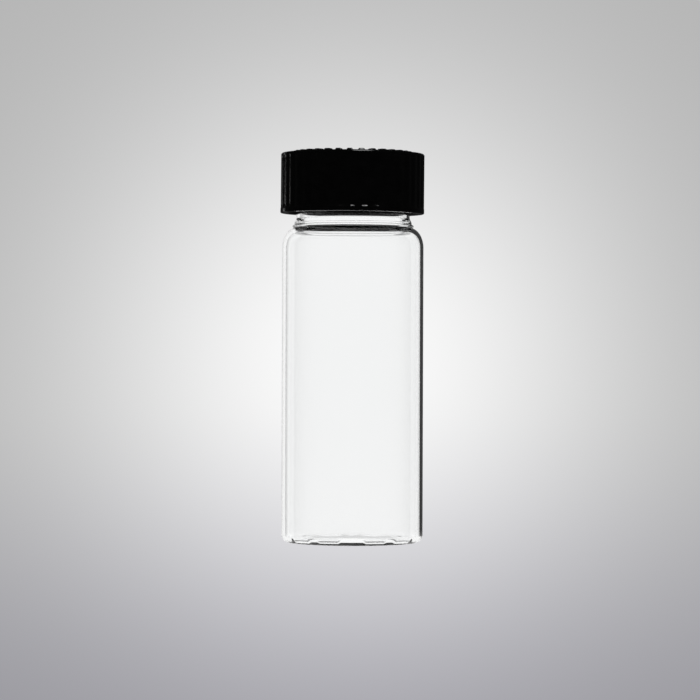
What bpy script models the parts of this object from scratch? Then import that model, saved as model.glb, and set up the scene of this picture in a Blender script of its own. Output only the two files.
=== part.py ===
"""Screw-cap specimen jar, modelled the way the real one is put together.

A clear vial drawn from glass tube, with a 24-400 screw neck, carries a black
ribbed phenolic cap. The cap holds a two-layer liner: a rubber backing disc and
the thin film face that seals on the lip. Metres, +Z up, with the origin under
the middle of the base and every piece on the Z axis.
"""

import math

import bmesh
import bpy

MM = 0.001
SEGMENTS = 48                         # sides of a turned piece
STEP_DEG = 360.0 / SEGMENTS
MERGE_DISTANCE = 0.000001
SMOOTH_ANGLE_DEG = 35.0
REST_GAP = 0.3 * MM                   # between two pieces that bear on each other

# Glass vial: body and base
BODY_RADIUS = 13.75 * MM
BODY_WALL = 0.8 * MM
HEEL_RADIUS = 1.35 * MM
BEARING_INNER_RADIUS = 10.9 * MM      # the flat ring that the vial stands on starts here
PUSH_UP = 0.08 * MM                   # rise of the base inside that ring
FLOOR_HEIGHT = 0.78 * MM              # top of the glass floor, inside
FLOOR_CORNER = 0.6 * MM

# Glass vial: shoulder, a quarter ellipse with the wall following it inside
SHOULDER_START = 57.2 * MM
SHOULDER_SPREAD = 2.6 * MM
SHOULDER_RISE = 3.9 * MM
SHOULDER_END_DEG = 74.0
INNER_SHOULDER_END_DEG = 60.0

# Glass vial: neck
NECK_RADIUS = 11.05 * MM
BORE_RADIUS = 10.0 * MM
BORE_START = 61.2 * MM
COLLAR_PLACE = (11.42 * MM, 61.4 * MM)   # middle of the small rounded collar above the shoulder
COLLAR_SIZE = (0.38 * MM, 0.32 * MM)
FLARE_RADIUS = 11.4 * MM              # the neck widens to this at its foot
FLARE_BASE = 62.1 * MM
FLARE_TOP = 62.95 * MM
VIAL_HEIGHT = 72.0 * MM
LIP_RADIUS = 0.42 * MM

# Thread: one start, right hand, eight turns to the inch
LEAD = 25.4 * MM / 8
GLASS_THREAD_START = 65.9 * MM
GLASS_THREAD_TURNS = 1.375
GLASS_THREAD_RELIEF = 0.8 * MM
GLASS_THREAD_HALF_WIDTH = 1.05 * MM
CAP_THREAD_FIRST_TURN = 0.3125        # where the cap's ridge starts, in turns past the glass one
CAP_THREAD_TURNS = 1.25
CAP_THREAD_RELIEF = 0.8 * MM
CAP_THREAD_HALF_WIDTH = 0.75 * MM
THREAD_SINK = 0.3 * MM                # how far a ridge reaches into the wall it stands on
THREAD_RUN_OUT = 0.12                 # turns over which a ridge fades at each end
RIDGE_SIDES = 8

# Liner
LINER_RADIUS = 11.5 * MM
FACING_THICKNESS = 0.25 * MM
BACKING_THICKNESS = 1.2 * MM

# Cap
CAP_BOTTOM = 63.9 * MM
CAP_HEIGHT = 11.7 * MM
CAP_BAND_RADIUS = 14.0 * MM
CAP_BAND_TOP = 1.1 * MM               # the plain band at the skirt's lower edge
CAP_BAND_CHAMFER = 0.2 * MM
CAP_BORE_RADIUS = 12.15 * MM
CAP_MOUTH_RADIUS = 12.6 * MM
CAP_MOUTH_DEPTH = 0.5 * MM
CAP_EDGE_RADIUS = 0.42 * MM
RIB_COUNT = 40
RIB_PHASE_DEG = 5.2
RIB_CREST_RADIUS = 13.97 * MM
RIB_VALLEY_RADIUS = 13.82 * MM
RIB_FOOT_DEG = 3.4                    # half width of a rib where it meets the valley
RIB_CREST_DEG = 1.8
RIB_RUN_OUT = 0.25 * MM

# Raised marks on the cap's top: a plain ring of short dashes
MARK_COUNT = 32
MARK_PHASE_DEG = 8.35
MARK_HALF_DEG = 2.8
MARK_INNER_RADIUS = 9.9 * MM
MARK_OUTER_RADIUS = 11.7 * MM
MARK_RELIEF = 0.4 * MM
MARK_SINK = 0.3 * MM


def clear_scene():
    """Remove whatever the scene holds."""
    for existing in list(bpy.data.objects):
        bpy.data.objects.remove(existing, do_unlink=True)


def plain_material(name, colour, roughness, transmission=0.0, ior=1.5):
    """A Principled material of one colour."""
    material = bpy.data.materials.new(name)
    material.use_nodes = True
    shader = material.node_tree.nodes["Principled BSDF"]
    shader.inputs["Base Color"].default_value = (*colour, 1.0)
    shader.inputs["Metallic"].default_value = 0.0
    shader.inputs["Roughness"].default_value = roughness
    shader.inputs["Transmission Weight"].default_value = transmission
    shader.inputs["IOR"].default_value = ior
    return material


def arc(centre, radii, start_deg, end_deg, steps):
    """Points along an elliptical arc, as (radius, height) pairs."""
    points = []
    for step in range(steps + 1):
        angle = math.radians(start_deg + (end_deg - start_deg) * step / steps)
        points.append((centre[0] + radii[0] * math.cos(angle), centre[1] + radii[1] * math.sin(angle)))
    return points


def blend_curve(start, start_slope, end, end_slope, steps):
    """Points of a smooth curve that leaves start along start_slope and reaches end along end_slope."""
    points = []
    for step in range(steps + 1):
        t = step / steps
        weights = (2 * t**3 - 3 * t**2 + 1, t**3 - 2 * t**2 + t, 3 * t**2 - 2 * t**3, t**3 - t**2)
        terms = (start, start_slope, end, end_slope)
        points.append(tuple(sum(w * term[axis] for w, term in zip(weights, terms)) for axis in (0, 1)))
    return points


def finish_object(name, bm, height, parent, material=None):
    """Close a bmesh into an object that stands at a height on the Z axis."""
    bmesh.ops.remove_doubles(bm, verts=bm.verts[:], dist=MERGE_DISTANCE)
    bmesh.ops.recalc_face_normals(bm, faces=bm.faces[:])
    mesh = bpy.data.meshes.new(name)
    bm.to_mesh(mesh)
    bm.free()
    mesh.shade_smooth()
    mesh.set_sharp_from_angle(angle=math.radians(SMOOTH_ANGLE_DEG))
    if material is not None:
        mesh.materials.append(material)
    piece = bpy.data.objects.new(name, mesh)
    bpy.context.scene.collection.objects.link(piece)
    piece.parent = parent
    piece.location = (0.0, 0.0, height)
    return piece


def turned(outline):
    """Spin an outline that starts and ends on the Z axis into a closed solid."""
    bm = bmesh.new()
    verts = [bm.verts.new((radius, 0.0, height)) for radius, height in outline]
    edges = [bm.edges.new(pair) for pair in zip(verts, verts[1:])]
    bmesh.ops.spin(
        bm, geom=verts + edges, cent=(0.0, 0.0, 0.0), axis=(0.0, 0.0, 1.0),
        angle=math.tau, steps=SEGMENTS, use_duplicate=False,
    )
    return bm


def skin_rings(bm, rings):
    """Join rings of vertices, equal in number, side by side."""
    for lower, upper in zip(rings, rings[1:]):
        for index in range(len(lower)):
            following = (index + 1) % len(lower)
            bm.faces.new((lower[index], lower[following], upper[following], upper[index]))


def ridge_section(relief, half_width, size):
    """Half-ellipse section of a thread ridge, as (outward, upward) pairs.

    At size 0 the section lies wholly under the wall; at size 1 it has its full relief.
    """
    crest = size * (relief + THREAD_SINK / 2) - THREAD_SINK / 2
    return arc((-THREAD_SINK, 0.0), (crest + THREAD_SINK, half_width), -90.0, 90.0, RIDGE_SIDES)


def helical_ridge(wall_radius, outward, relief, half_width, first_turn, turns, start_height):
    """A thread ridge that fades into the wall at both ends; outward is 1 outside a wall, -1 inside."""
    bm = bmesh.new()
    steps = round(turns * SEGMENTS)
    rings = []
    for step in range(steps + 1):
        turn = step / SEGMENTS
        size = min(1.0, turn / THREAD_RUN_OUT, (turns - turn) / THREAD_RUN_OUT)
        angle = math.tau * (first_turn + turn)
        middle = start_height + LEAD * turn
        ring = []
        for out, up in ridge_section(relief, half_width, size):
            radius = wall_radius + outward * out
            ring.append(bm.verts.new((radius * math.cos(angle), radius * math.sin(angle), middle + up)))
        rings.append(ring)
    skin_rings(bm, rings)
    bm.faces.new(rings[0])
    bm.faces.new(rings[-1])
    return bm


def combine(piece, tool, operation):
    """Cut a tool out of a piece, or join it on, with an exact Boolean."""
    tool.hide_render = True
    tool.display_type = "WIRE"
    modifier = piece.modifiers.new(tool.name, "BOOLEAN")
    modifier.operation = operation
    modifier.solver = "EXACT"
    modifier.object = tool


def shoulder_arc(inset, end_deg, steps):
    """The shoulder's quarter ellipse from the straight body up, moved in by inset along its normals."""
    points = []
    for step in range(steps + 1):
        angle = math.radians(end_deg * step / steps)
        across, up = SHOULDER_RISE * math.cos(angle), SHOULDER_SPREAD * math.sin(angle)
        length = math.hypot(across, up)
        radius = BODY_RADIUS - SHOULDER_SPREAD + SHOULDER_SPREAD * math.cos(angle) - inset * across / length
        height = SHOULDER_START + SHOULDER_RISE * math.sin(angle) - inset * up / length
        points.append((radius, height))
    return points


def base_outline():
    """Underside of the vial: a low dome, the flat bearing ring and the rounded heel."""
    heel_centre = (BODY_RADIUS - HEEL_RADIUS, HEEL_RADIUS)
    dome = [(0.0, PUSH_UP), (BEARING_INNER_RADIUS * 0.6, PUSH_UP * 0.8), (BEARING_INNER_RADIUS, 0.0)]
    return dome + arc(heel_centre, (HEEL_RADIUS, HEEL_RADIUS), -90.0, 0.0, 6)


def neck_outline():
    """Outside of the neck: the collar, the flared foot, and over the lip to the top of the bore."""
    collar = arc(COLLAR_PLACE, COLLAR_SIZE, -60.0, 85.0, 5)
    flare = blend_curve(
        (FLARE_RADIUS, FLARE_BASE), (0.0, 0.5 * MM), (NECK_RADIUS, FLARE_TOP), (0.0, 0.4 * MM), 5,
    )
    lip_middle = VIAL_HEIGHT - LIP_RADIUS
    outer_lip = arc((NECK_RADIUS - LIP_RADIUS, lip_middle), (LIP_RADIUS, LIP_RADIUS), 0.0, 90.0, 3)
    inner_lip = arc((BORE_RADIUS + LIP_RADIUS, lip_middle), (LIP_RADIUS, LIP_RADIUS), 90.0, 180.0, 3)
    return collar + flare + outer_lip + inner_lip


def inner_outline():
    """Inside of the vial from the foot of the bore, under the shoulder and down to the floor."""
    shoulder = shoulder_arc(BODY_WALL, INNER_SHOULDER_END_DEG, 7)[::-1]
    reach = 3.0 * MM / math.dist(shoulder[0], shoulder[1])
    slope = [reach * (below - above) for above, below in zip(shoulder[0], shoulder[1])]
    flare = blend_curve((BORE_RADIUS, BORE_START), (0.0, -2.0 * MM), shoulder[0], slope, 5)
    corner_centre = (BODY_RADIUS - BODY_WALL - FLOOR_CORNER, FLOOR_HEIGHT + FLOOR_CORNER)
    corner = arc(corner_centre, (FLOOR_CORNER, FLOOR_CORNER), 0.0, -90.0, 6)
    return flare + shoulder[1:] + corner + [(0.0, FLOOR_HEIGHT)]


def make_glass_vial(parent):
    """The vial: one piece of glass, with the thread ridge joined to its neck."""
    shoulder = shoulder_arc(0.0, SHOULDER_END_DEG, 8)
    outline = base_outline() + shoulder + neck_outline() + inner_outline()
    clear_glass = plain_material("clear_glass", (0.96, 0.98, 0.98), 0.02, transmission=1.0, ior=1.49)
    vial = finish_object("glass_vial", turned(outline), 0.0, parent, clear_glass)
    ridge = helical_ridge(
        NECK_RADIUS, 1, GLASS_THREAD_RELIEF, GLASS_THREAD_HALF_WIDTH,
        0.0, GLASS_THREAD_TURNS, GLASS_THREAD_START,
    )
    combine(vial, finish_object("glass_thread_tool", ridge, 0.0, parent), "UNION")


def disc(radius, thickness):
    """A plain round disc that stands on its own origin."""
    return turned([(0.0, 0.0), (radius, 0.0), (radius, thickness), (0.0, thickness)])


def make_liner(parent):
    """The film face, just above the lip, and the rubber disc behind it."""
    facing_bottom = VIAL_HEIGHT + REST_GAP
    backing_bottom = facing_bottom + FACING_THICKNESS + REST_GAP
    film = plain_material("liner_film", (0.90, 0.90, 0.88), 0.35)
    rubber = plain_material("liner_rubber", (0.74, 0.71, 0.64), 0.75)
    finish_object("liner_facing", disc(LINER_RADIUS, FACING_THICKNESS), facing_bottom, parent, film)
    finish_object("liner_backing", disc(LINER_RADIUS, BACKING_THICKNESS), backing_bottom, parent, rubber)


def ribbed_ring(bm, crest_radius, valley_radius, height):
    """One ring of the cap's outside: four corners to each rib."""
    corners = (
        (-RIB_FOOT_DEG, valley_radius), (-RIB_CREST_DEG, crest_radius),
        (RIB_CREST_DEG, crest_radius), (RIB_FOOT_DEG, valley_radius),
    )
    ring = []
    for rib in range(RIB_COUNT):
        for offset_deg, radius in corners:
            angle = math.radians(RIB_PHASE_DEG + rib * 360.0 / RIB_COUNT + offset_deg)
            ring.append(bm.verts.new((radius * math.cos(angle), radius * math.sin(angle), height)))
    return ring


def cap_blank():
    """The cap's outside as a solid plug: plain band, ribs and rounded top edge."""
    bm = bmesh.new()
    edge_start = CAP_HEIGHT - CAP_EDGE_RADIUS
    levels = [
        (CAP_BAND_RADIUS - CAP_BAND_CHAMFER, CAP_BAND_RADIUS - CAP_BAND_CHAMFER, 0.0),
        (CAP_BAND_RADIUS, CAP_BAND_RADIUS, CAP_BAND_CHAMFER),
        (CAP_BAND_RADIUS, CAP_BAND_RADIUS, CAP_BAND_TOP - RIB_RUN_OUT),
        (RIB_CREST_RADIUS, RIB_VALLEY_RADIUS, CAP_BAND_TOP),
        (RIB_CREST_RADIUS, RIB_VALLEY_RADIUS, edge_start - RIB_RUN_OUT),
    ]
    edge_centre = (RIB_CREST_RADIUS - CAP_EDGE_RADIUS, edge_start)
    for radius, height in arc(edge_centre, (CAP_EDGE_RADIUS, CAP_EDGE_RADIUS), 0.0, 90.0, 3):
        levels.append((radius, radius, height))
    rings = [ribbed_ring(bm, crest, valley, height) for crest, valley, height in levels]
    skin_rings(bm, rings)
    bm.faces.new(rings[0])
    bm.faces.new(rings[-1])
    return bm


def cap_bore():
    """The space inside the cap, with a flared mouth that runs past the lower edge."""
    liner_top = VIAL_HEIGHT + FACING_THICKNESS + BACKING_THICKNESS + 2 * REST_GAP
    ceiling = liner_top + REST_GAP - CAP_BOTTOM
    below = -CAP_MOUTH_DEPTH
    return turned([
        (0.0, below), (CAP_MOUTH_RADIUS, below), (CAP_MOUTH_RADIUS, 0.0),
        (CAP_BORE_RADIUS, CAP_MOUTH_DEPTH), (CAP_BORE_RADIUS, ceiling), (0.0, ceiling),
    ])


def raised_marks():
    """A ring of raised dashes."""
    bm = bmesh.new()
    corners = (
        (MARK_INNER_RADIUS, -MARK_HALF_DEG), (MARK_OUTER_RADIUS, -MARK_HALF_DEG),
        (MARK_OUTER_RADIUS, MARK_HALF_DEG), (MARK_INNER_RADIUS, MARK_HALF_DEG),
    )
    for mark in range(MARK_COUNT):
        middle_deg = MARK_PHASE_DEG + mark * 360.0 / MARK_COUNT
        rings = []
        for height in (CAP_HEIGHT - MARK_SINK, CAP_HEIGHT + MARK_RELIEF):
            ring = []
            for radius, offset_deg in corners:
                angle = math.radians(middle_deg + offset_deg)
                ring.append(bm.verts.new((radius * math.cos(angle), radius * math.sin(angle), height)))
            rings.append(ring)
        skin_rings(bm, rings)
        bm.faces.new(rings[0])
        bm.faces.new(rings[-1])
    return bm


def make_cap(parent):
    """The phenolic cap: ribbed outside, threaded inside, raised dashes on top."""
    phenolic = plain_material("black_phenolic", (0.012, 0.012, 0.013), 0.22)
    cap = finish_object("screw_cap", cap_blank(), CAP_BOTTOM, parent, phenolic)
    ridge_start = GLASS_THREAD_START + LEAD * (CAP_THREAD_FIRST_TURN - 0.5) - CAP_BOTTOM
    ridge = helical_ridge(
        CAP_BORE_RADIUS, -1, CAP_THREAD_RELIEF, CAP_THREAD_HALF_WIDTH,
        CAP_THREAD_FIRST_TURN, CAP_THREAD_TURNS, ridge_start,
    )
    combine(cap, finish_object("cap_bore_tool", cap_bore(), CAP_BOTTOM, parent), "DIFFERENCE")
    combine(cap, finish_object("cap_thread_tool", ridge, CAP_BOTTOM, parent), "UNION")
    combine(cap, finish_object("cap_marks_tool", raised_marks(), CAP_BOTTOM, parent), "UNION")


def main():
    """Build the whole jar around one vertical axis."""
    clear_scene()
    axis = bpy.data.objects.new("jar_axis", None)
    bpy.context.scene.collection.objects.link(axis)
    make_glass_vial(axis)
    make_liner(axis)
    make_cap(axis)


main()
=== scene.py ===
"""Looks of the screw-cap specimen jar: a clear tube-glass vial, a ribbed black cap and its faced liner.

Metres, +Z up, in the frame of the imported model; the front of the jar faces -Y. Every piece is turned
about the Z axis from an outline of arcs and smooth curves, and its relief (thread, ribs, raised
dashes, draw lines) is a function of the angle, the radius and the height. A pair of values such as
DRAWN_FROM gives where a smooth change starts and ends.
"""

import functools
import math

import bmesh
import bpy
import numpy as np
from mathutils import Matrix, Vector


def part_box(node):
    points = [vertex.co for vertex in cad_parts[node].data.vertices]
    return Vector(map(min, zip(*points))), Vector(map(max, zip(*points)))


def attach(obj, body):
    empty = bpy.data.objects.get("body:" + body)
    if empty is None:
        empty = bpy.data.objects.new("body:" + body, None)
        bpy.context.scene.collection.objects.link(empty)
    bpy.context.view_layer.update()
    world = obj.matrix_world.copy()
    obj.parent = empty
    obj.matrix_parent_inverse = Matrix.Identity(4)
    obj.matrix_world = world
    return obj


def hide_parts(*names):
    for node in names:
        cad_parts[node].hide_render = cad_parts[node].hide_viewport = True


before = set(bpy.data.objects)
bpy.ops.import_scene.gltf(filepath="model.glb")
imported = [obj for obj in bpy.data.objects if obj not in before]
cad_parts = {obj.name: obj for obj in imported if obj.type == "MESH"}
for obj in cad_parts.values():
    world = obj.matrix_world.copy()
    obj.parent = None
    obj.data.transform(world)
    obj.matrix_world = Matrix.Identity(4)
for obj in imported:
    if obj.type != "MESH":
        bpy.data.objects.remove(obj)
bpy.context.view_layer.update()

MM = 0.001

# Sizes read from the frame
VIAL_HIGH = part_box("glass_vial")[1]
CAP_LOW, CAP_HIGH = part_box("screw_cap")
FACING_LOW, FACING_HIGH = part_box("liner_facing")
BACKING_LOW, BACKING_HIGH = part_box("liner_backing")
BODY_RADIUS = VIAL_HIGH.x
VIAL_HEIGHT = VIAL_HIGH.z
LINER_RADIUS = FACING_HIGH.x
CAP_BOTTOM = CAP_LOW.z

# Glass: wall, base and shoulder
BODY_WALL = 0.8 * MM
HEEL_RADIUS = 1.35 * MM
BEARING_INNER_RADIUS = 10.9 * MM
PUSH_UP = 0.08 * MM
FLOOR_HEIGHT = 0.78 * MM
FLOOR_CORNER = 0.6 * MM
FLOOR_THIN_SPOT = 0.18 * MM
THIN_SPOT_WAVES = (10.4, 5.2)
THIN_SPOT_LONG_WAVE = 0.72
THIN_SPOT_LEVELS = (-0.15, 0.25)
THIN_SPOT_RADII = (10.5 * MM, 12.2 * MM)
THIN_SPOT_HEIGHTS = (1.2 * MM, 2.2 * MM)
SHOULDER_START = 57.2 * MM
SHOULDER_SPREAD = 2.6 * MM
SHOULDER_RISE = 3.9 * MM
SHOULDER_END_DEG = 74.0
INNER_SHOULDER_END_DEG = 60.0
DRAWN_FROM = (2.0 * MM, 6.0 * MM)
DRAWN_TO = (52.0 * MM, 60.0 * MM)
OUTER_WAVE = 0.004 * MM
INNER_WAVE = 0.006 * MM
DRAW_LINE = 0.0012 * MM

# Glass: neck, collar, lip and thread
NECK_RADIUS = 11.05 * MM
BORE_RADIUS = 10.0 * MM
BORE_START = 61.2 * MM
COLLAR_PLACE = (11.42 * MM, 61.4 * MM)
COLLAR_SIZE = (0.38 * MM, 0.32 * MM)
FLARE_RADIUS = 11.4 * MM
FLARE_BASE = 62.1 * MM
FLARE_TOP = 62.95 * MM
FLARE_SLOPES = (0.5 * MM, 0.4 * MM)
INNER_FLARE_SLOPES = (2.0 * MM, 3.0 * MM)
LIP_RADIUS = 0.42 * MM
LEAD = 25.4 * MM / 8
GLASS_THREAD_START = 65.9 * MM
GLASS_THREAD_TURNS = 1.375
GLASS_THREAD_RELIEF = 0.8 * MM
GLASS_THREAD_HALF_WIDTH = 1.05 * MM
CAP_THREAD_FIRST_TURN = 0.3125
CAP_THREAD_TURNS = 1.25
CAP_THREAD_RELIEF = 0.8 * MM
CAP_THREAD_HALF_WIDTH = 0.75 * MM
THREAD_RUN_OUT = 0.12

# Cap
MARK_RELIEF = 0.4 * MM
CAP_TOP = CAP_HIGH.z - MARK_RELIEF
CEILING_GAP = 0.3 * MM
CEILING_HEIGHT = BACKING_HIGH.z + CEILING_GAP
CAP_BAND_RADIUS = 14.0 * MM
CAP_BAND_TOP = 1.1 * MM
CAP_BORE_RADIUS = 12.15 * MM
CAP_MOUTH_RADIUS = 12.6 * MM
CAP_RIM_RISE = 0.045 * MM
CAP_MOUTH_DEPTH = 0.5 * MM
CAP_EDGE_RADIUS = 0.42 * MM
CAP_LOWER_EDGE_RADIUS = 0.22 * MM
LEDGE_DROP = 0.25 * MM
LEDGE_SLOPE = 0.2 * MM
RIB_COUNT = 40
RIB_PHASE_DEG = 5.2
RIB_CREST_RADIUS = 13.97 * MM
RIB_DEPTH = 0.15 * MM
RIB_FOOT_DEG = 3.6
RIB_RUN_OUT = 0.3 * MM
RIB_LOW_RUN_OUT = (0.25 * MM, 0.1 * MM)
MARK_COUNT = 32
MARK_PHASE_DEG = 8.35
MARK_INNER_RADIUS = 9.9 * MM
MARK_OUTER_RADIUS = 11.7 * MM
MARK_HALF_DEG = 2.8
MARK_SLOPE = 0.12 * MM
CAP_LEAN_DEG = 0.35
CAP_SHIFT = -0.1 * MM
CAP_SEAT_HEIGHT = 70.0 * MM

# Liner
FILM_EDGE = 0.05 * MM
RUBBER_EDGE = 0.15 * MM
LIP_PRINT_DEPTH = 0.06 * MM

# Meshes
VIAL_SEGMENTS = 240
CAP_SEGMENTS = RIB_COUNT * 10
LINER_SEGMENTS = 160
SAME_PLACE = 0.002 * MM
ON_SURFACE = 0.01 * MM
SHARP_DEG = 50.0


# ---------------------------------------------------------------- outlines

def arc(centre, radii, start_deg, end_deg, steps):
    """Points along an elliptical arc, as (radius, height) pairs."""
    angles = np.radians(np.linspace(start_deg, end_deg, steps + 1))
    across = centre[0] + radii[0] * np.cos(angles)
    return np.column_stack((across, centre[1] + radii[1] * np.sin(angles)))


def line(start, end, steps):
    """Evenly spaced points along a straight stretch."""
    share = np.linspace(0.0, 1.0, steps + 1)[:, None]
    return np.asarray(start) * (1.0 - share) + np.asarray(end) * share


def blend_curve(start, start_slope, end, end_slope, steps):
    """A smooth curve that leaves start along start_slope and reaches end along end_slope."""
    share = np.linspace(0.0, 1.0, steps + 1)[:, None]
    return (
        (2 * share**3 - 3 * share**2 + 1) * np.asarray(start)
        + (share**3 - 2 * share**2 + share) * np.asarray(start_slope)
        + (3 * share**2 - 2 * share**3) * np.asarray(end)
        + (share**3 - share**2) * np.asarray(end_slope)
    )


def chain(*stretches):
    """Stretches of outline end to end, without the points that two of them share."""
    points = [stretches[0][0]]
    for stretch in stretches:
        for point in stretch:
            if np.hypot(*(point - points[-1])) > SAME_PLACE:
                points.append(point)
    return np.array(points)


def shoulder_arc(inset, end_deg, steps):
    """The shoulder's quarter ellipse, moved in by inset along its normals."""
    angles = np.radians(np.linspace(0.0, end_deg, steps + 1))
    outside = np.column_stack((SHOULDER_SPREAD * np.cos(angles), SHOULDER_RISE * np.sin(angles)))
    outward = np.column_stack((SHOULDER_RISE * np.cos(angles), SHOULDER_SPREAD * np.sin(angles)))
    outward /= np.hypot(outward[:, 0], outward[:, 1])[:, None]
    return outside - inset * outward + (BODY_RADIUS - SHOULDER_SPREAD, SHOULDER_START)


def smoothstep(low, high, value):
    """0 below low, 1 above high and a smooth step between."""
    share = np.clip((value - low) / (high - low), 0.0, 1.0)
    return share * share * (3.0 - 2.0 * share)


# ---------------------------------------------------------------- meshes

def turned_mesh(name, outline, segments, relief=None):
    """A closed mesh turned about Z from an outline that starts and ends on the axis.

    relief(angle, radius, height) gives what to add to the radius and to the height of each point.
    """
    rings = outline[1:-1]
    angle = np.linspace(0.0, math.tau, segments, endpoint=False)[None, :]
    radius = np.repeat(rings[:, :1], segments, axis=1)
    height = np.repeat(rings[:, 1:], segments, axis=1)
    if relief is not None:
        out, up = relief(angle, radius, height)
        radius, height = radius + out, height + up
    points = np.stack((radius * np.cos(angle), radius * np.sin(angle), height), axis=-1).reshape(-1, 3)
    first_pole, last_pole = len(points), len(points) + 1
    poles = np.array([[0.0, 0.0, outline[0][1]], [0.0, 0.0, outline[-1][1]]])
    here = np.arange(segments)
    beside = (here + 1) % segments
    faces = [(first_pole, int(b), int(a)) for a, b in zip(here, beside)]
    for ring in range(len(rings) - 1):
        low, high = ring * segments, (ring + 1) * segments
        faces += [(int(low + a), int(low + b), int(high + b), int(high + a)) for a, b in zip(here, beside)]
    top = (len(rings) - 1) * segments
    faces += [(last_pole, int(top + a), int(top + b)) for a, b in zip(here, beside)]
    mesh = bpy.data.meshes.new(name)
    mesh.from_pydata(np.vstack((points, poles)).tolist(), [], faces)
    bm = bmesh.new()
    bm.from_mesh(mesh)
    bmesh.ops.recalc_face_normals(bm, faces=bm.faces[:])
    bm.to_mesh(mesh)
    bm.free()
    mesh.shade_smooth()
    mesh.set_sharp_from_angle(angle=math.radians(SHARP_DEG))
    piece = bpy.data.objects.new(name, mesh)
    bpy.context.scene.collection.objects.link(piece)
    return piece


def thread_relief(angle, height, first_turn, turns, start_height, relief, half_width):
    """How far a helical ridge stands out of its wall at each angle and height."""
    total = np.zeros(np.broadcast(angle, height).shape)
    for lap in range(-1, int(turns + first_turn) + 2):
        turn = angle / math.tau + lap - first_turn
        middle = start_height + LEAD * turn
        size = smoothstep(0.0, THREAD_RUN_OUT, np.minimum(turn, turns - turn))
        across = np.clip(1.0 - ((height - middle) / half_width) ** 2, 0.0, 1.0)
        total = np.maximum(total, relief * size * across)
    return total


# ---------------------------------------------------------------- glass vial

def vial_outer_outline():
    """From the middle of the underside, up the body, over the shoulder and up the neck to the lip."""
    heel_centre = (BODY_RADIUS - HEEL_RADIUS, HEEL_RADIUS)
    dome = blend_curve(
        (0.0, PUSH_UP), (BEARING_INNER_RADIUS, 0.0),
        (BEARING_INNER_RADIUS, 0.0), (BEARING_INNER_RADIUS, -0.6 * PUSH_UP), 14,
    )
    land = line((BEARING_INNER_RADIUS, 0.0), (heel_centre[0], 0.0), 4)
    heel = arc(heel_centre, (HEEL_RADIUS, HEEL_RADIUS), -90.0, 0.0, 24)
    body = line((BODY_RADIUS, HEEL_RADIUS), (BODY_RADIUS, SHOULDER_START), 40)
    shoulder = shoulder_arc(0.0, SHOULDER_END_DEG, 24)
    collar = arc(COLLAR_PLACE, COLLAR_SIZE, -60.0, 85.0, 10)
    flare = blend_curve(
        (FLARE_RADIUS, FLARE_BASE), (0.0, FLARE_SLOPES[0]),
        (NECK_RADIUS, FLARE_TOP), (0.0, FLARE_SLOPES[1]), 14,
    )
    lip_start = VIAL_HEIGHT - LIP_RADIUS
    neck = line(flare[-1], (NECK_RADIUS, lip_start), 80)
    lip = arc((NECK_RADIUS - LIP_RADIUS, lip_start), (LIP_RADIUS, LIP_RADIUS), 0.0, 90.0, 10)
    return chain(dome, land, heel, body, shoulder, collar, flare, neck, lip)


def vial_inner_outline():
    """From the lip down the bore, under the shoulder and down to the middle of the floor."""
    lip_centre = (BORE_RADIUS + LIP_RADIUS, VIAL_HEIGHT - LIP_RADIUS)
    lip = arc(lip_centre, (LIP_RADIUS, LIP_RADIUS), 90.0, 180.0, 10)
    bore = line(lip[-1], (BORE_RADIUS, BORE_START), 24)
    shoulder = shoulder_arc(BODY_WALL, INNER_SHOULDER_END_DEG, 24)[::-1]
    along_shoulder = (shoulder[1] - shoulder[0]) / np.hypot(*(shoulder[1] - shoulder[0]))
    flare = blend_curve(
        bore[-1], (0.0, -INNER_FLARE_SLOPES[0]), shoulder[0], INNER_FLARE_SLOPES[1] * along_shoulder, 16,
    )
    corner_centre = (BODY_RADIUS - BODY_WALL - FLOOR_CORNER, FLOOR_HEIGHT + FLOOR_CORNER)
    body = line(shoulder[-1], (BODY_RADIUS - BODY_WALL, corner_centre[1]), 40)
    corner = arc(corner_centre, (FLOOR_CORNER, FLOOR_CORNER), 0.0, -90.0, 24)
    floor = line(corner[-1], (0.0, FLOOR_HEIGHT), 8)
    return chain(lip, bore, flare, shoulder, body, corner, floor)


def thin_spots(angle):
    """1 where the flame-closed corner of the floor is thin and 0 where it is full, round the jar.

    Two waves that start at the front add up to thin places of unequal length.
    """
    from_front = (angle + 1.5 * math.pi) % math.tau - math.pi
    short, long = THIN_SPOT_WAVES
    wave = np.cos(short * from_front) + THIN_SPOT_LONG_WAVE * np.cos(long * from_front)
    return 1.0 - smoothstep(*THIN_SPOT_LEVELS, wave)


def vial_relief(outer_rings, angle, radius, height):
    """The thread on the neck, and the slight unevenness of drawn and flame-worked glass."""
    outside = np.arange(len(radius))[:, None] < outer_rings
    on_neck = outside & (height > FLARE_TOP) & (height < VIAL_HEIGHT - LIP_RADIUS)
    thread = thread_relief(
        angle, height, 0.0, GLASS_THREAD_TURNS, GLASS_THREAD_START,
        GLASS_THREAD_RELIEF, GLASS_THREAD_HALF_WIDTH,
    )
    out = np.where(on_neck, thread, 0.0)
    drawn = smoothstep(*DRAWN_FROM, height) * (1.0 - smoothstep(*DRAWN_TO, height))
    slow = np.cos(2 * angle + 0.7) + 0.5 * np.cos(3 * angle + 2.0 + 20.0 * height)
    fine = np.cos(11 * angle + 1.3) + 0.7 * np.cos(17 * angle + 0.4) + 0.5 * np.cos(29 * angle + 2.6)
    out = out + drawn * np.where(outside, OUTER_WAVE * slow, INNER_WAVE * slow + DRAW_LINE * fine)
    corner = smoothstep(*THIN_SPOT_RADII, radius) * (1.0 - smoothstep(*THIN_SPOT_HEIGHTS, height))
    return out, np.where(outside, 0.0, -FLOOR_THIN_SPOT * corner * thin_spots(angle))


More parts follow.
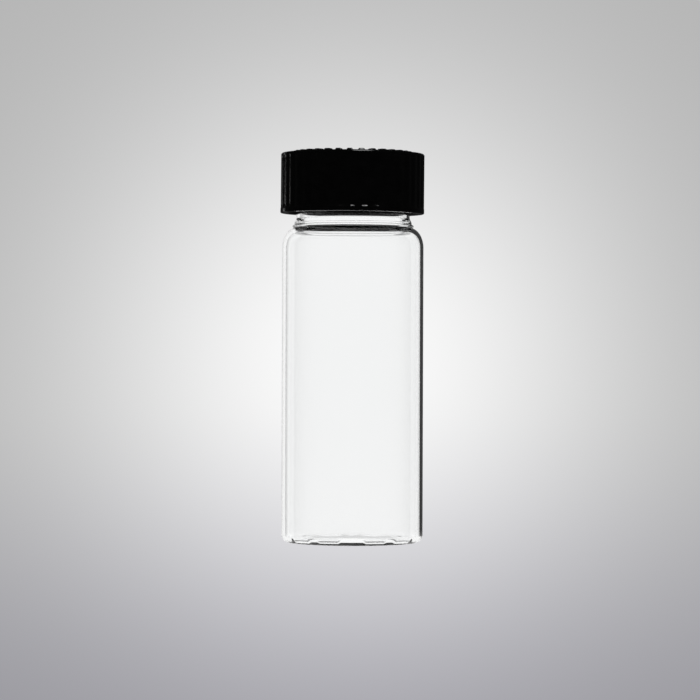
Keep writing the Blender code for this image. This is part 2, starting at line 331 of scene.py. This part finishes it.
def make_vial():
    """The whole glass: one closed mesh of outer and inner surfaces."""
    outer = vial_outer_outline()
    outline = chain(outer, vial_inner_outline())
    relief = functools.partial(vial_relief, len(outer) - 1)
    vial = turned_mesh("vial_glass", outline, VIAL_SEGMENTS, relief)
    vial.data.materials.append(glass_material())
    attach(vial, "vial")
    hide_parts("glass_vial")


# ---------------------------------------------------------------- cap

def cap_outline():
    """From the middle of the top, over the edge, down the ribs, round the lower edge and up the bore."""
    marks_from = (MARK_INNER_RADIUS - 2 * MARK_SLOPE, CAP_TOP)
    marks_to = (MARK_OUTER_RADIUS + 2 * MARK_SLOPE, CAP_TOP)
    edge_centre = (RIB_CREST_RADIUS - CAP_EDGE_RADIUS, CAP_TOP - CAP_EDGE_RADIUS)
    top = chain(
        line((0.0, CAP_TOP), marks_from, 12),
        line(marks_from, marks_to, 36),
        line(marks_to, (edge_centre[0], CAP_TOP), 6),
    )
    edge = arc(edge_centre, (CAP_EDGE_RADIUS, CAP_EDGE_RADIUS), 90.0, 0.0, 10)
    band_top = CAP_BOTTOM + CAP_BAND_TOP
    side = line(edge[-1], (RIB_CREST_RADIUS, band_top), 30)
    ledge_end = (CAP_BAND_RADIUS, band_top - LEDGE_DROP)
    ledge = blend_curve(side[-1], (0.0, -LEDGE_SLOPE), ledge_end, (0.0, -LEDGE_SLOPE), 6)
    round_off = CAP_LOWER_EDGE_RADIUS
    low_centre = (CAP_BAND_RADIUS - round_off, CAP_BOTTOM + round_off)
    band = line(ledge[-1], (CAP_BAND_RADIUS, low_centre[1]), 4)
    low_edge = arc(low_centre, (round_off, round_off), 0.0, -90.0, 16)
    rim = line(low_edge[-1], (CAP_MOUTH_RADIUS, CAP_BOTTOM + CAP_RIM_RISE), 3)
    mouth = line(rim[-1], (CAP_BORE_RADIUS, CAP_BOTTOM + CAP_MOUTH_DEPTH), 3)
    bore = line(mouth[-1], (CAP_BORE_RADIUS, CEILING_HEIGHT), 90)
    ceiling = line(bore[-1], (0.0, CEILING_HEIGHT), 6)
    return chain(top, edge, side, ledge, band, low_edge, rim, mouth, bore, ceiling)


def rib_height(angle):
    """0 in the valley between two ribs and 1 on a crest, with a rounded crest."""
    pitch = 360.0 / RIB_COUNT
    off_centre = (np.degrees(angle) - RIB_PHASE_DEG + pitch / 2) % pitch - pitch / 2
    share = np.clip(np.abs(off_centre) / RIB_FOOT_DEG, 0.0, 1.0)
    return (1.0 - share**3) ** 2


def mark_height(angle, radius):
    """The ring of raised dashes, from 0 to 1."""
    pitch = 360.0 / MARK_COUNT
    off_centre = np.abs((np.degrees(angle) - MARK_PHASE_DEG + pitch / 2) % pitch - pitch / 2)
    past_end = np.radians(off_centre - MARK_HALF_DEG) * radius
    past_side = np.abs(radius - (MARK_INNER_RADIUS + MARK_OUTER_RADIUS) / 2)
    past_side = past_side - (MARK_OUTER_RADIUS - MARK_INNER_RADIUS) / 2
    return 1.0 - smoothstep(-MARK_SLOPE, MARK_SLOPE, np.maximum(past_end, past_side))


def cap_relief(angle, radius, height):
    """Ribs on the side, dashes on the top and the thread ridge in the bore."""
    outer_side = radius > CAP_MOUTH_RADIUS
    rib_low = CAP_BOTTOM + CAP_BAND_TOP
    rib_high = CAP_TOP - CAP_EDGE_RADIUS
    above_band = smoothstep(rib_low - RIB_LOW_RUN_OUT[0], rib_low + RIB_LOW_RUN_OUT[1], height)
    below_edge = 1.0 - smoothstep(rib_high - RIB_RUN_OUT, rib_high + 0.3 * CAP_EDGE_RADIUS, height)
    out = -RIB_DEPTH * (1.0 - rib_height(angle)) * above_band * below_edge * outer_side
    inside = (np.abs(radius - CAP_BORE_RADIUS) < ON_SURFACE) & (height < CEILING_HEIGHT - ON_SURFACE)
    ridge = thread_relief(
        angle, height, CAP_THREAD_FIRST_TURN, CAP_THREAD_TURNS,
        GLASS_THREAD_START + LEAD * (CAP_THREAD_FIRST_TURN - 0.5),
        CAP_THREAD_RELIEF, CAP_THREAD_HALF_WIDTH,
    )
    out = out - ridge * inside
    on_top = height > CAP_TOP - ON_SURFACE
    up = MARK_RELIEF * mark_height(angle, radius) * on_top
    return out, up


def make_cap():
    """The phenolic moulding, a little out of square on the neck."""
    cap = turned_mesh("cap_shell", cap_outline(), CAP_SEGMENTS, cap_relief)
    seat = Matrix.Translation((0.0, 0.0, CAP_SEAT_HEIGHT))
    lean = Matrix.Rotation(math.radians(CAP_LEAN_DEG), 4, "Y")
    aside = Matrix.Translation((CAP_SHIFT, 0.0, 0.0))
    cap.data.transform(aside @ seat @ lean @ seat.inverted())
    cap.data.materials.append(phenolic_material())
    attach(cap, "cap")
    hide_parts("screw_cap")


# ---------------------------------------------------------------- liner

def disc_outline(low, high, radius, edge):
    """A disc with softly rounded rims, from the middle of its underside to the middle of its top."""
    return chain(
        line((0.0, low), (radius - edge, low), 40),
        arc((radius - edge, low + edge), (edge, edge), -90.0, 0.0, 5),
        arc((radius - edge, high - edge), (edge, edge), 0.0, 90.0, 5),
        line((radius - edge, high), (0.0, high), 12),
    )


def lip_print(angle, radius, height):
    """The shallow ring that the vial's lip has pressed into the film."""
    middle = (BORE_RADIUS + NECK_RADIUS) / 2
    half_width = (NECK_RADIUS - BORE_RADIUS) / 2
    ring = 1.0 - smoothstep(0.6 * half_width, half_width, np.abs(radius - middle))
    underside = height < FACING_LOW.z + ON_SURFACE
    return np.zeros_like(radius), LIP_PRINT_DEPTH * ring * underside * np.ones_like(angle)


def make_liner():
    """The film face and the rubber disc behind it."""
    film_outline = disc_outline(FACING_LOW.z, FACING_HIGH.z, LINER_RADIUS, FILM_EDGE)
    film = turned_mesh("liner_film_face", film_outline, LINER_SEGMENTS, lip_print)
    film.data.materials.append(film_material())
    rubber_outline = disc_outline(BACKING_LOW.z, BACKING_HIGH.z, LINER_RADIUS, RUBBER_EDGE)
    rubber = turned_mesh("liner_rubber_disc", rubber_outline, LINER_SEGMENTS)
    rubber.data.materials.append(rubber_material())
    for piece, node, slot in (
        (film, "liner_facing", "liner_film"), (rubber, "liner_backing", "liner_rubber"),
    ):
        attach(piece, "liner")
        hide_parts(node)


# ---------------------------------------------------------------- node helpers

class Nodes:
    """Short calls for building a shader tree."""

    def __init__(self, tree):
        self.tree = tree

    def add(self, kind, inputs=None, **settings):
        """A node with its settings and its inputs, each a value or another node's output."""
        node = self.tree.nodes.new(kind)
        for name, value in settings.items():
            setattr(node, name, value)
        for key, value in (inputs or {}).items():
            self.put(node.inputs[key], value)
        return node

    def put(self, socket, value):
        """Link an output to a socket, or set the socket's value."""
        if isinstance(value, bpy.types.NodeSocket):
            self.tree.links.new(value, socket)
        else:
            socket.default_value = value

    def math(self, operation, first, second=0.0):
        """One arithmetic step."""
        return self.add("ShaderNodeMath", {0: first, 1: second}, operation=operation).outputs[0]

    def ramp(self, value, low, high, start=0.0, end=1.0):
        """A smooth change from start to end as value goes from low to high."""
        inputs = {"Value": value, "From Min": low, "From Max": high, "To Min": start, "To Max": end}
        return self.add("ShaderNodeMapRange", inputs, interpolation_type="SMOOTHSTEP").outputs["Result"]

    def band(self, value, low, high, soft):
        """1 between low and high, 0 outside, with edges that fade over soft to each side."""
        rise = self.ramp(value, low - soft, low + soft)
        fall = self.ramp(value, high - soft, high + soft, 1.0, 0.0)
        return self.math("MULTIPLY", rise, fall)

    def product(self, *values):
        """All the values multiplied."""
        result = values[0]
        for value in values[1:]:
            result = self.math("MULTIPLY", result, value)
        return result

    def total(self, *values):
        """All the values added."""
        result = values[0]
        for value in values[1:]:
            result = self.math("ADD", result, value)
        return result

    def mix(self, factor, first, second):
        """A number part of the way from first to second."""
        inputs = {"Factor": factor, "A": first, "B": second}
        return self.add("ShaderNodeMix", inputs, data_type="FLOAT").outputs["Result"]

    def mix_colour(self, factor, first, second):
        """A colour part of the way from first to second."""
        node = self.add("ShaderNodeMix", data_type="RGBA")
        for index, value in ((0, factor), (6, first), (7, second)):
            self.put(node.inputs[index], value)
        return node.outputs[2]

    def noise(self, vector, scale, detail=3.0, roughness=0.5):
        """Fractal noise from 0 to 1."""
        inputs = {"Vector": vector, "Scale": scale, "Detail": detail, "Roughness": roughness}
        return self.add("ShaderNodeTexNoise", inputs).outputs["Fac"]

    def stretched(self, vector, scale):
        """The coordinates scaled by a different amount along each axis."""
        return self.add("ShaderNodeMapping", {"Vector": vector, "Scale": scale}).outputs["Vector"]

    def bump(self, height, strength, distance):
        """A surface normal moved by a height."""
        inputs = {"Height": height, "Strength": strength, "Distance": distance}
        return self.add("ShaderNodeBump", inputs).outputs["Normal"]


def principled(name):
    """A new material: its node helper, its Principled shader and its object coordinates."""
    material = bpy.data.materials.new(name)
    material.use_nodes = True
    nodes = Nodes(material.node_tree)
    shader = material.node_tree.nodes["Principled BSDF"]
    place = nodes.add("ShaderNodeTexCoord").outputs["Object"]
    return material, nodes, shader, place


# ---------------------------------------------------------------- materials

GLASS_TINTS = ((0.985, 0.99, 0.99, 1.0), (0.992, 0.995, 0.995, 1.0))
GLASS_IOR = 1.49
SCUFFED_BELOW = (0.02 * MM, 0.3 * MM)
SCUFF_ROUGHNESS = 0.22
PHENOLIC_COLOURS = ((0.0006, 0.0006, 0.0007, 1.0), (0.0012, 0.0012, 0.0013, 1.0))
PHENOLIC_IOR = 1.55
PHENOLIC_ROUGHNESS = (0.08, 0.16)
DUST_ROUGHNESS = 0.04
FILM_COLOURS = ((0.84, 0.84, 0.82, 1.0), (0.93, 0.93, 0.91, 1.0))
FILM_ROUGHNESS = (0.28, 0.42)
RUBBER_COLOURS = ((0.66, 0.63, 0.56, 1.0), (0.79, 0.76, 0.69, 1.0))
RUBBER_ROUGHNESS = (0.68, 0.85)


def glass_material():
    """Clear borosilicate glass: faint draw lines, and fine scuffs on the ring it stands on."""
    material, nodes, shader, place = principled("clear_glass")
    height = nodes.add("ShaderNodeSeparateXYZ", {"Vector": place}).outputs["Z"]
    draw_lines = nodes.noise(nodes.stretched(place, (1.0, 1.0, 0.02)), 900.0, 2.0)
    scuffs = nodes.noise(place, 2600.0, 4.0, 0.7)
    at_base = nodes.ramp(height, *SCUFFED_BELOW, 1.0, 0.0)
    scuffed = nodes.product(at_base, nodes.ramp(scuffs, 0.5, 0.7))
    nodes.put(shader.inputs["Roughness"], nodes.mix(scuffed, 0.0, SCUFF_ROUGHNESS))
    tint = nodes.mix_colour(nodes.noise(place, 60.0), *GLASS_TINTS)
    nodes.put(shader.inputs["Base Color"], tint)
    nodes.put(shader.inputs["Normal"], nodes.bump(draw_lines, 0.02, 0.1 * MM))
    shader.inputs["Transmission Weight"].default_value = 1.0
    shader.inputs["IOR"].default_value = GLASS_IOR
    return material


def phenolic_material():
    """Black moulded phenolic: glossy, with a faint mottle, dust and orange peel."""
    material, nodes, shader, place = principled("black_phenolic")
    mottle = nodes.noise(place, 500.0, 4.0, 0.6)
    dust = nodes.noise(place, 2400.0, 2.0)
    colour = nodes.mix_colour(nodes.ramp(mottle, 0.35, 0.7), *PHENOLIC_COLOURS)
    nodes.put(shader.inputs["Base Color"], colour)
    polish = nodes.mix(nodes.ramp(mottle, 0.3, 0.75), *PHENOLIC_ROUGHNESS)
    nodes.put(shader.inputs["Roughness"], nodes.total(polish, nodes.product(dust, DUST_ROUGHNESS)))
    peel = nodes.total(nodes.noise(place, 1200.0, 3.0), nodes.product(dust, 0.4))
    nodes.put(shader.inputs["Normal"], nodes.bump(peel, 0.08, 0.1 * MM))
    shader.inputs["IOR"].default_value = PHENOLIC_IOR
    return material


def film_material():
    """White fluoropolymer film: satin and slightly cloudy."""
    material, nodes, shader, place = principled("liner_film")
    cloud = nodes.noise(place, 300.0, 4.0)
    nodes.put(shader.inputs["Base Color"], nodes.mix_colour(cloud, *FILM_COLOURS))
    nodes.put(shader.inputs["Roughness"], nodes.mix(cloud, *FILM_ROUGHNESS))
    nodes.put(shader.inputs["Normal"], nodes.bump(nodes.noise(place, 3000.0), 0.1, 0.05 * MM))
    return material


def rubber_material():
    """Off-white rubber: matt and grainy."""
    material, nodes, shader, place = principled("liner_rubber")
    grain = nodes.noise(place, 1500.0, 5.0, 0.65)
    nodes.put(shader.inputs["Base Color"], nodes.mix_colour(grain, *RUBBER_COLOURS))
    nodes.put(shader.inputs["Roughness"], nodes.mix(grain, *RUBBER_ROUGHNESS))
    nodes.put(shader.inputs["Normal"], nodes.bump(grain, 0.25, 0.1 * MM))
    return material


# ---------------------------------------------------------------- stage

CAMERA_DISTANCE = 0.594
CAMERA_HEIGHT = 37.37 * MM
CAMERA_SIDE = -0.49 * MM
CAMERA_LENS = 156.86
CAMERA_ROLL_DEG = -0.2
STAGE_FLAT_RADIUS = 0.72
STAGE_WALL_RADIUS = 1.15
STAGE_HEIGHT = 1.2
STAGE_DROP = 0.05 * MM
STAGE_LEVEL = 0.455
STAGE_TINT = (1.0, 1.0, 1.0, 1.0)
# Painted shade on the floor in front of the jar: its tint, its level, and the slopes and depths where it
# falls.
FLOOR_SHADE_TINT = (0.985, 0.975, 1.06, 1.0)
FLOOR_SHADE_LEVEL = 0.7
FLOOR_SHADE_SLOPES = (-0.12, -0.01)
IN_VIEW_DEPTHS = (0.05, 0.28)
LEAST_DEPTH = 0.05
# Painted pool of light on the stage, centred on a line from this point over the jar.
GLOW_PLACE = (0.0, -CAMERA_DISTANCE, 33.4 * MM)
GLOW_SPREAD = 0.089
GLOW_LEVEL = 0.51


def stage_material():
    """A pale, softly glowing surround with a painted pool of light, brightest behind the jar and falling
    off to the sides, and painted shade, darker and bluer, on the floor in front.
    """
    material = bpy.data.materials.new("pale_stage")
    material.use_nodes = True
    material.node_tree.nodes.clear()
    nodes = Nodes(material.node_tree)
    place = nodes.add("ShaderNodeNewGeometry").outputs["Position"]
    offset = nodes.add("ShaderNodeVectorMath", {0: place, 1: GLOW_PLACE}, operation="SUBTRACT").outputs[0]
    x, y, z = nodes.add("ShaderNodeSeparateXYZ", {"Vector": offset}).outputs
    depth = nodes.math("MAXIMUM", y, LEAST_DEPTH)
    across = nodes.math("DIVIDE", x, depth)
    along = nodes.math("DIVIDE", z, depth)
    square = nodes.total(nodes.product(across, across), nodes.product(along, along))
    # Painted pool of light: brightest behind the jar, falling off to the sides.
    glow = nodes.math("EXPONENT", nodes.product(square, -1.0 / GLOW_SPREAD**2))
    level = nodes.total(STAGE_LEVEL, nodes.product(glow, GLOW_LEVEL))
    # Painted shade: the floor in front of the jar is darker and bluer.
    floor_shade = nodes.product(nodes.ramp(along, *FLOOR_SHADE_SLOPES, 1.0, 0.0), nodes.ramp(y, *IN_VIEW_DEPTHS))
    level = nodes.product(level, nodes.mix(floor_shade, 1.0, FLOOR_SHADE_LEVEL))
    colour = nodes.mix_colour(floor_shade, STAGE_TINT, FLOOR_SHADE_TINT)
    light = nodes.add("ShaderNodeEmission", {"Color": colour, "Strength": level})
    nodes.add("ShaderNodeOutputMaterial", {"Surface": light.outputs[0]})
    return material


def make_stage():
    """Floor, cove, wall and ceiling in one turned surface; only the camera sees it."""
    cove = STAGE_WALL_RADIUS - STAGE_FLAT_RADIUS
    outline = chain(
        line((0.0, 0.0), (STAGE_FLAT_RADIUS, 0.0), 12),
        arc((STAGE_FLAT_RADIUS, cove), (cove, cove), -90.0, 0.0, 24),
        line((STAGE_WALL_RADIUS, cove), (STAGE_WALL_RADIUS, STAGE_HEIGHT), 4),
        line((STAGE_WALL_RADIUS, STAGE_HEIGHT), (0.0, STAGE_HEIGHT), 2),
    )
    outline[:, 1] -= STAGE_DROP
    stage = turned_mesh("stage", outline, 96)
    stage.data.materials.append(stage_material())
    stage.visible_diffuse = False
    stage.visible_glossy = False
    stage.visible_transmission = False
    stage.visible_shadow = False


# ---------------------------------------------------------------- studio light

# Azimuths (from +Y towards +X) and elevations are in degrees, and levels are strengths of emission.
# Light that comes through the glass
PANEL_MIDDLE = (4.0, 14.0)
PANEL_LEVELS = (1.02, 1.1)
PANEL_SIDES = (21.0, 36.0)
BESIDE_PANEL_LEVEL = 0.48
LEFT_SHADE = (-30.0, -18.5)
LEFT_SHADE_LEVEL = 0.62
DARK_ABOVE = (34.0, 42.0)
DARK_ABOVE_LEVEL = 0.03

# Light that runs inside the wall
EDGE_LEFT = (-65.0, -1.0)
EDGE_RIGHT = (29.5, 65.0)
EDGE_DIM = (-45.0, -33.5)
EDGE_LEVEL = 0.95
EDGE_RIGHT_LEVEL = 0.9
EDGE_DIM_LEVEL = 0.6
EDGE_DARK_LEVEL = 0.02
FLOOR_GLOW_BELOW = (-7.0, -5.0)

# Light on the glossy cap: azimuths, then elevations
GLOSS_LEVEL = 0.015
BACK_PATCH = ((-30.0, 2.0), (-30.0, 30.0))
BACK_PATCH_LEVEL = 0.02
SIDE_STRIP = ((-40.0, -34.0), (-20.0, 3.2))
SIDE_STRIP_LEVEL = 0.7
TOP_LAMP = ((136.0, 176.0), (50.0, 72.0))
TOP_LAMP_LEVEL = 7.0
UNDERLIGHT_HEIGHTS = (-0.9, -0.3)
UNDERLIGHT_LEVEL = 0.04

# Light on the surface of the glass and on the matt liner
SHEEN_SIDE = (-40.0, -1.0)
SHEEN_BELOW = (-4.4, -3.4)
SHEEN_LEVELS = (0.1, 0.9)
DIFFUSE_LEVEL = 0.7


def light_through_glass(nodes, azimuth, elevation):
    """A bright panel behind the jar, dimmer to its sides and dark overhead."""
    aside = nodes.math("ABSOLUTE", azimuth)
    panel = nodes.ramp(aside, *PANEL_MIDDLE, *PANEL_LEVELS)
    return nodes.product(
        nodes.mix(nodes.ramp(aside, *PANEL_SIDES), panel, BESIDE_PANEL_LEVEL),
        nodes.mix(nodes.band(azimuth, *LEFT_SHADE, 1.0), 1.0, LEFT_SHADE_LEVEL),
        nodes.ramp(elevation, *DARK_ABOVE, 1.0, DARK_ABOVE_LEVEL),
    )


def light_along_walls(nodes, azimuth, elevation):
    """What shows where light runs inside the wall: two bright sides, dark between them, and the floor."""
    left_level = nodes.mix(nodes.band(azimuth, *EDGE_DIM, 1.5), EDGE_LEVEL, EDGE_DIM_LEVEL)
    left = nodes.mix(nodes.band(azimuth, *EDGE_LEFT, 1.0), EDGE_DARK_LEVEL, left_level)
    right = nodes.product(nodes.band(azimuth, *EDGE_RIGHT, 1.0), EDGE_RIGHT_LEVEL)
    floor = nodes.ramp(elevation, *FLOOR_GLOW_BELOW, EDGE_LEVEL, 0.0)
    return nodes.math("MAXIMUM", nodes.math("MAXIMUM", left, right), floor)


def light_on_gloss(nodes, azimuth, elevation, height):
    """What the glossy cap reflects: a dark room with a patch, a strip, a lamp and a faint floor."""
    back, back_height = BACK_PATCH
    strip, strip_height = SIDE_STRIP
    lamp, lamp_height = TOP_LAMP
    back_patch = nodes.product(nodes.band(azimuth, *back, 2.0), nodes.band(elevation, *back_height, 5.0))
    side_strip = nodes.product(nodes.band(azimuth, *strip, 1.0), nodes.band(elevation, *strip_height, 0.2))
    top_lamp = nodes.product(nodes.band(azimuth, *lamp, 2.0), nodes.band(elevation, *lamp_height, 2.0))
    return nodes.total(
        GLOSS_LEVEL,
        nodes.product(back_patch, BACK_PATCH_LEVEL),
        nodes.product(side_strip, SIDE_STRIP_LEVEL),
        nodes.product(top_lamp, TOP_LAMP_LEVEL),
        nodes.ramp(height, *UNDERLIGHT_HEIGHTS, UNDERLIGHT_LEVEL, 0.0),
    )


def light_on_glass(nodes, azimuth, elevation):
    """What the glass reflects sharply: one bright side and the floor in a dim room."""
    side = nodes.band(azimuth, *SHEEN_SIDE, 1.0)
    floor = nodes.ramp(elevation, *SHEEN_BELOW, 1.0, 0.0)
    return nodes.mix(nodes.math("MAXIMUM", side, floor), *SHEEN_LEVELS)


def make_studio_light():
    """Light from all round, chosen by the path that it took to the camera."""
    world = bpy.data.worlds.new("studio")
    bpy.context.scene.world = world
    world.use_nodes = True
    world.node_tree.nodes.clear()
    nodes = Nodes(world.node_tree)
    direction = nodes.add("ShaderNodeTexCoord").outputs["Generated"]
    x, y, z = nodes.add("ShaderNodeSeparateXYZ", {"Vector": direction}).outputs
    azimuth = nodes.math("DEGREES", nodes.math("ARCTAN2", x, y))
    elevation = nodes.math("DEGREES", nodes.math("ARCSINE", z))
    path = nodes.add("ShaderNodeLightPath").outputs

    in_first_wall = nodes.math("LESS_THAN", path["Transmission Depth"], 2.5)
    odd_bounces = nodes.math("MODULO", path["Glossy Depth"], 2.0)
    along_wall = nodes.product(in_first_wall, odd_bounces)
    through = light_through_glass(nodes, azimuth, elevation)
    passed = nodes.mix(along_wall, through, light_along_walls(nodes, azimuth, elevation))
    gloss = light_on_gloss(nodes, azimuth, elevation, z)
    reflected = nodes.mix(path["Is Singular Ray"], gloss, light_on_glass(nodes, azimuth, elevation))
    reflected = nodes.mix(path["Is Diffuse Ray"], reflected, DIFFUSE_LEVEL)
    level = nodes.mix(path["Is Transmission Ray"], reflected, passed)
    light = nodes.add("ShaderNodeBackground", {"Color": (1.0, 1.0, 1.0, 1.0), "Strength": level})
    nodes.add("ShaderNodeOutputWorld", {"Surface": light.outputs[0]})


# ---------------------------------------------------------------- camera

def make_camera():
    """A camera with a long lens, in front of the jar at half its height, rolled a little."""
    camera = bpy.data.objects.new("camera", bpy.data.cameras.new("camera"))
    camera.data.lens = CAMERA_LENS
    camera.data.clip_start = 0.01
    camera.location = (CAMERA_SIDE, -CAMERA_DISTANCE, CAMERA_HEIGHT)
    camera.rotation_euler = (math.radians(90.0), math.radians(CAMERA_ROLL_DEG), 0.0)
    bpy.context.scene.collection.objects.link(camera)
    bpy.context.scene.camera = camera
    bpy.context.scene.view_settings.view_transform = "Standard"


# ---------------------------------------------------------------- the whole scene

make_camera()
make_vial()
make_liner()
make_cap()
make_stage()
make_studio_light()
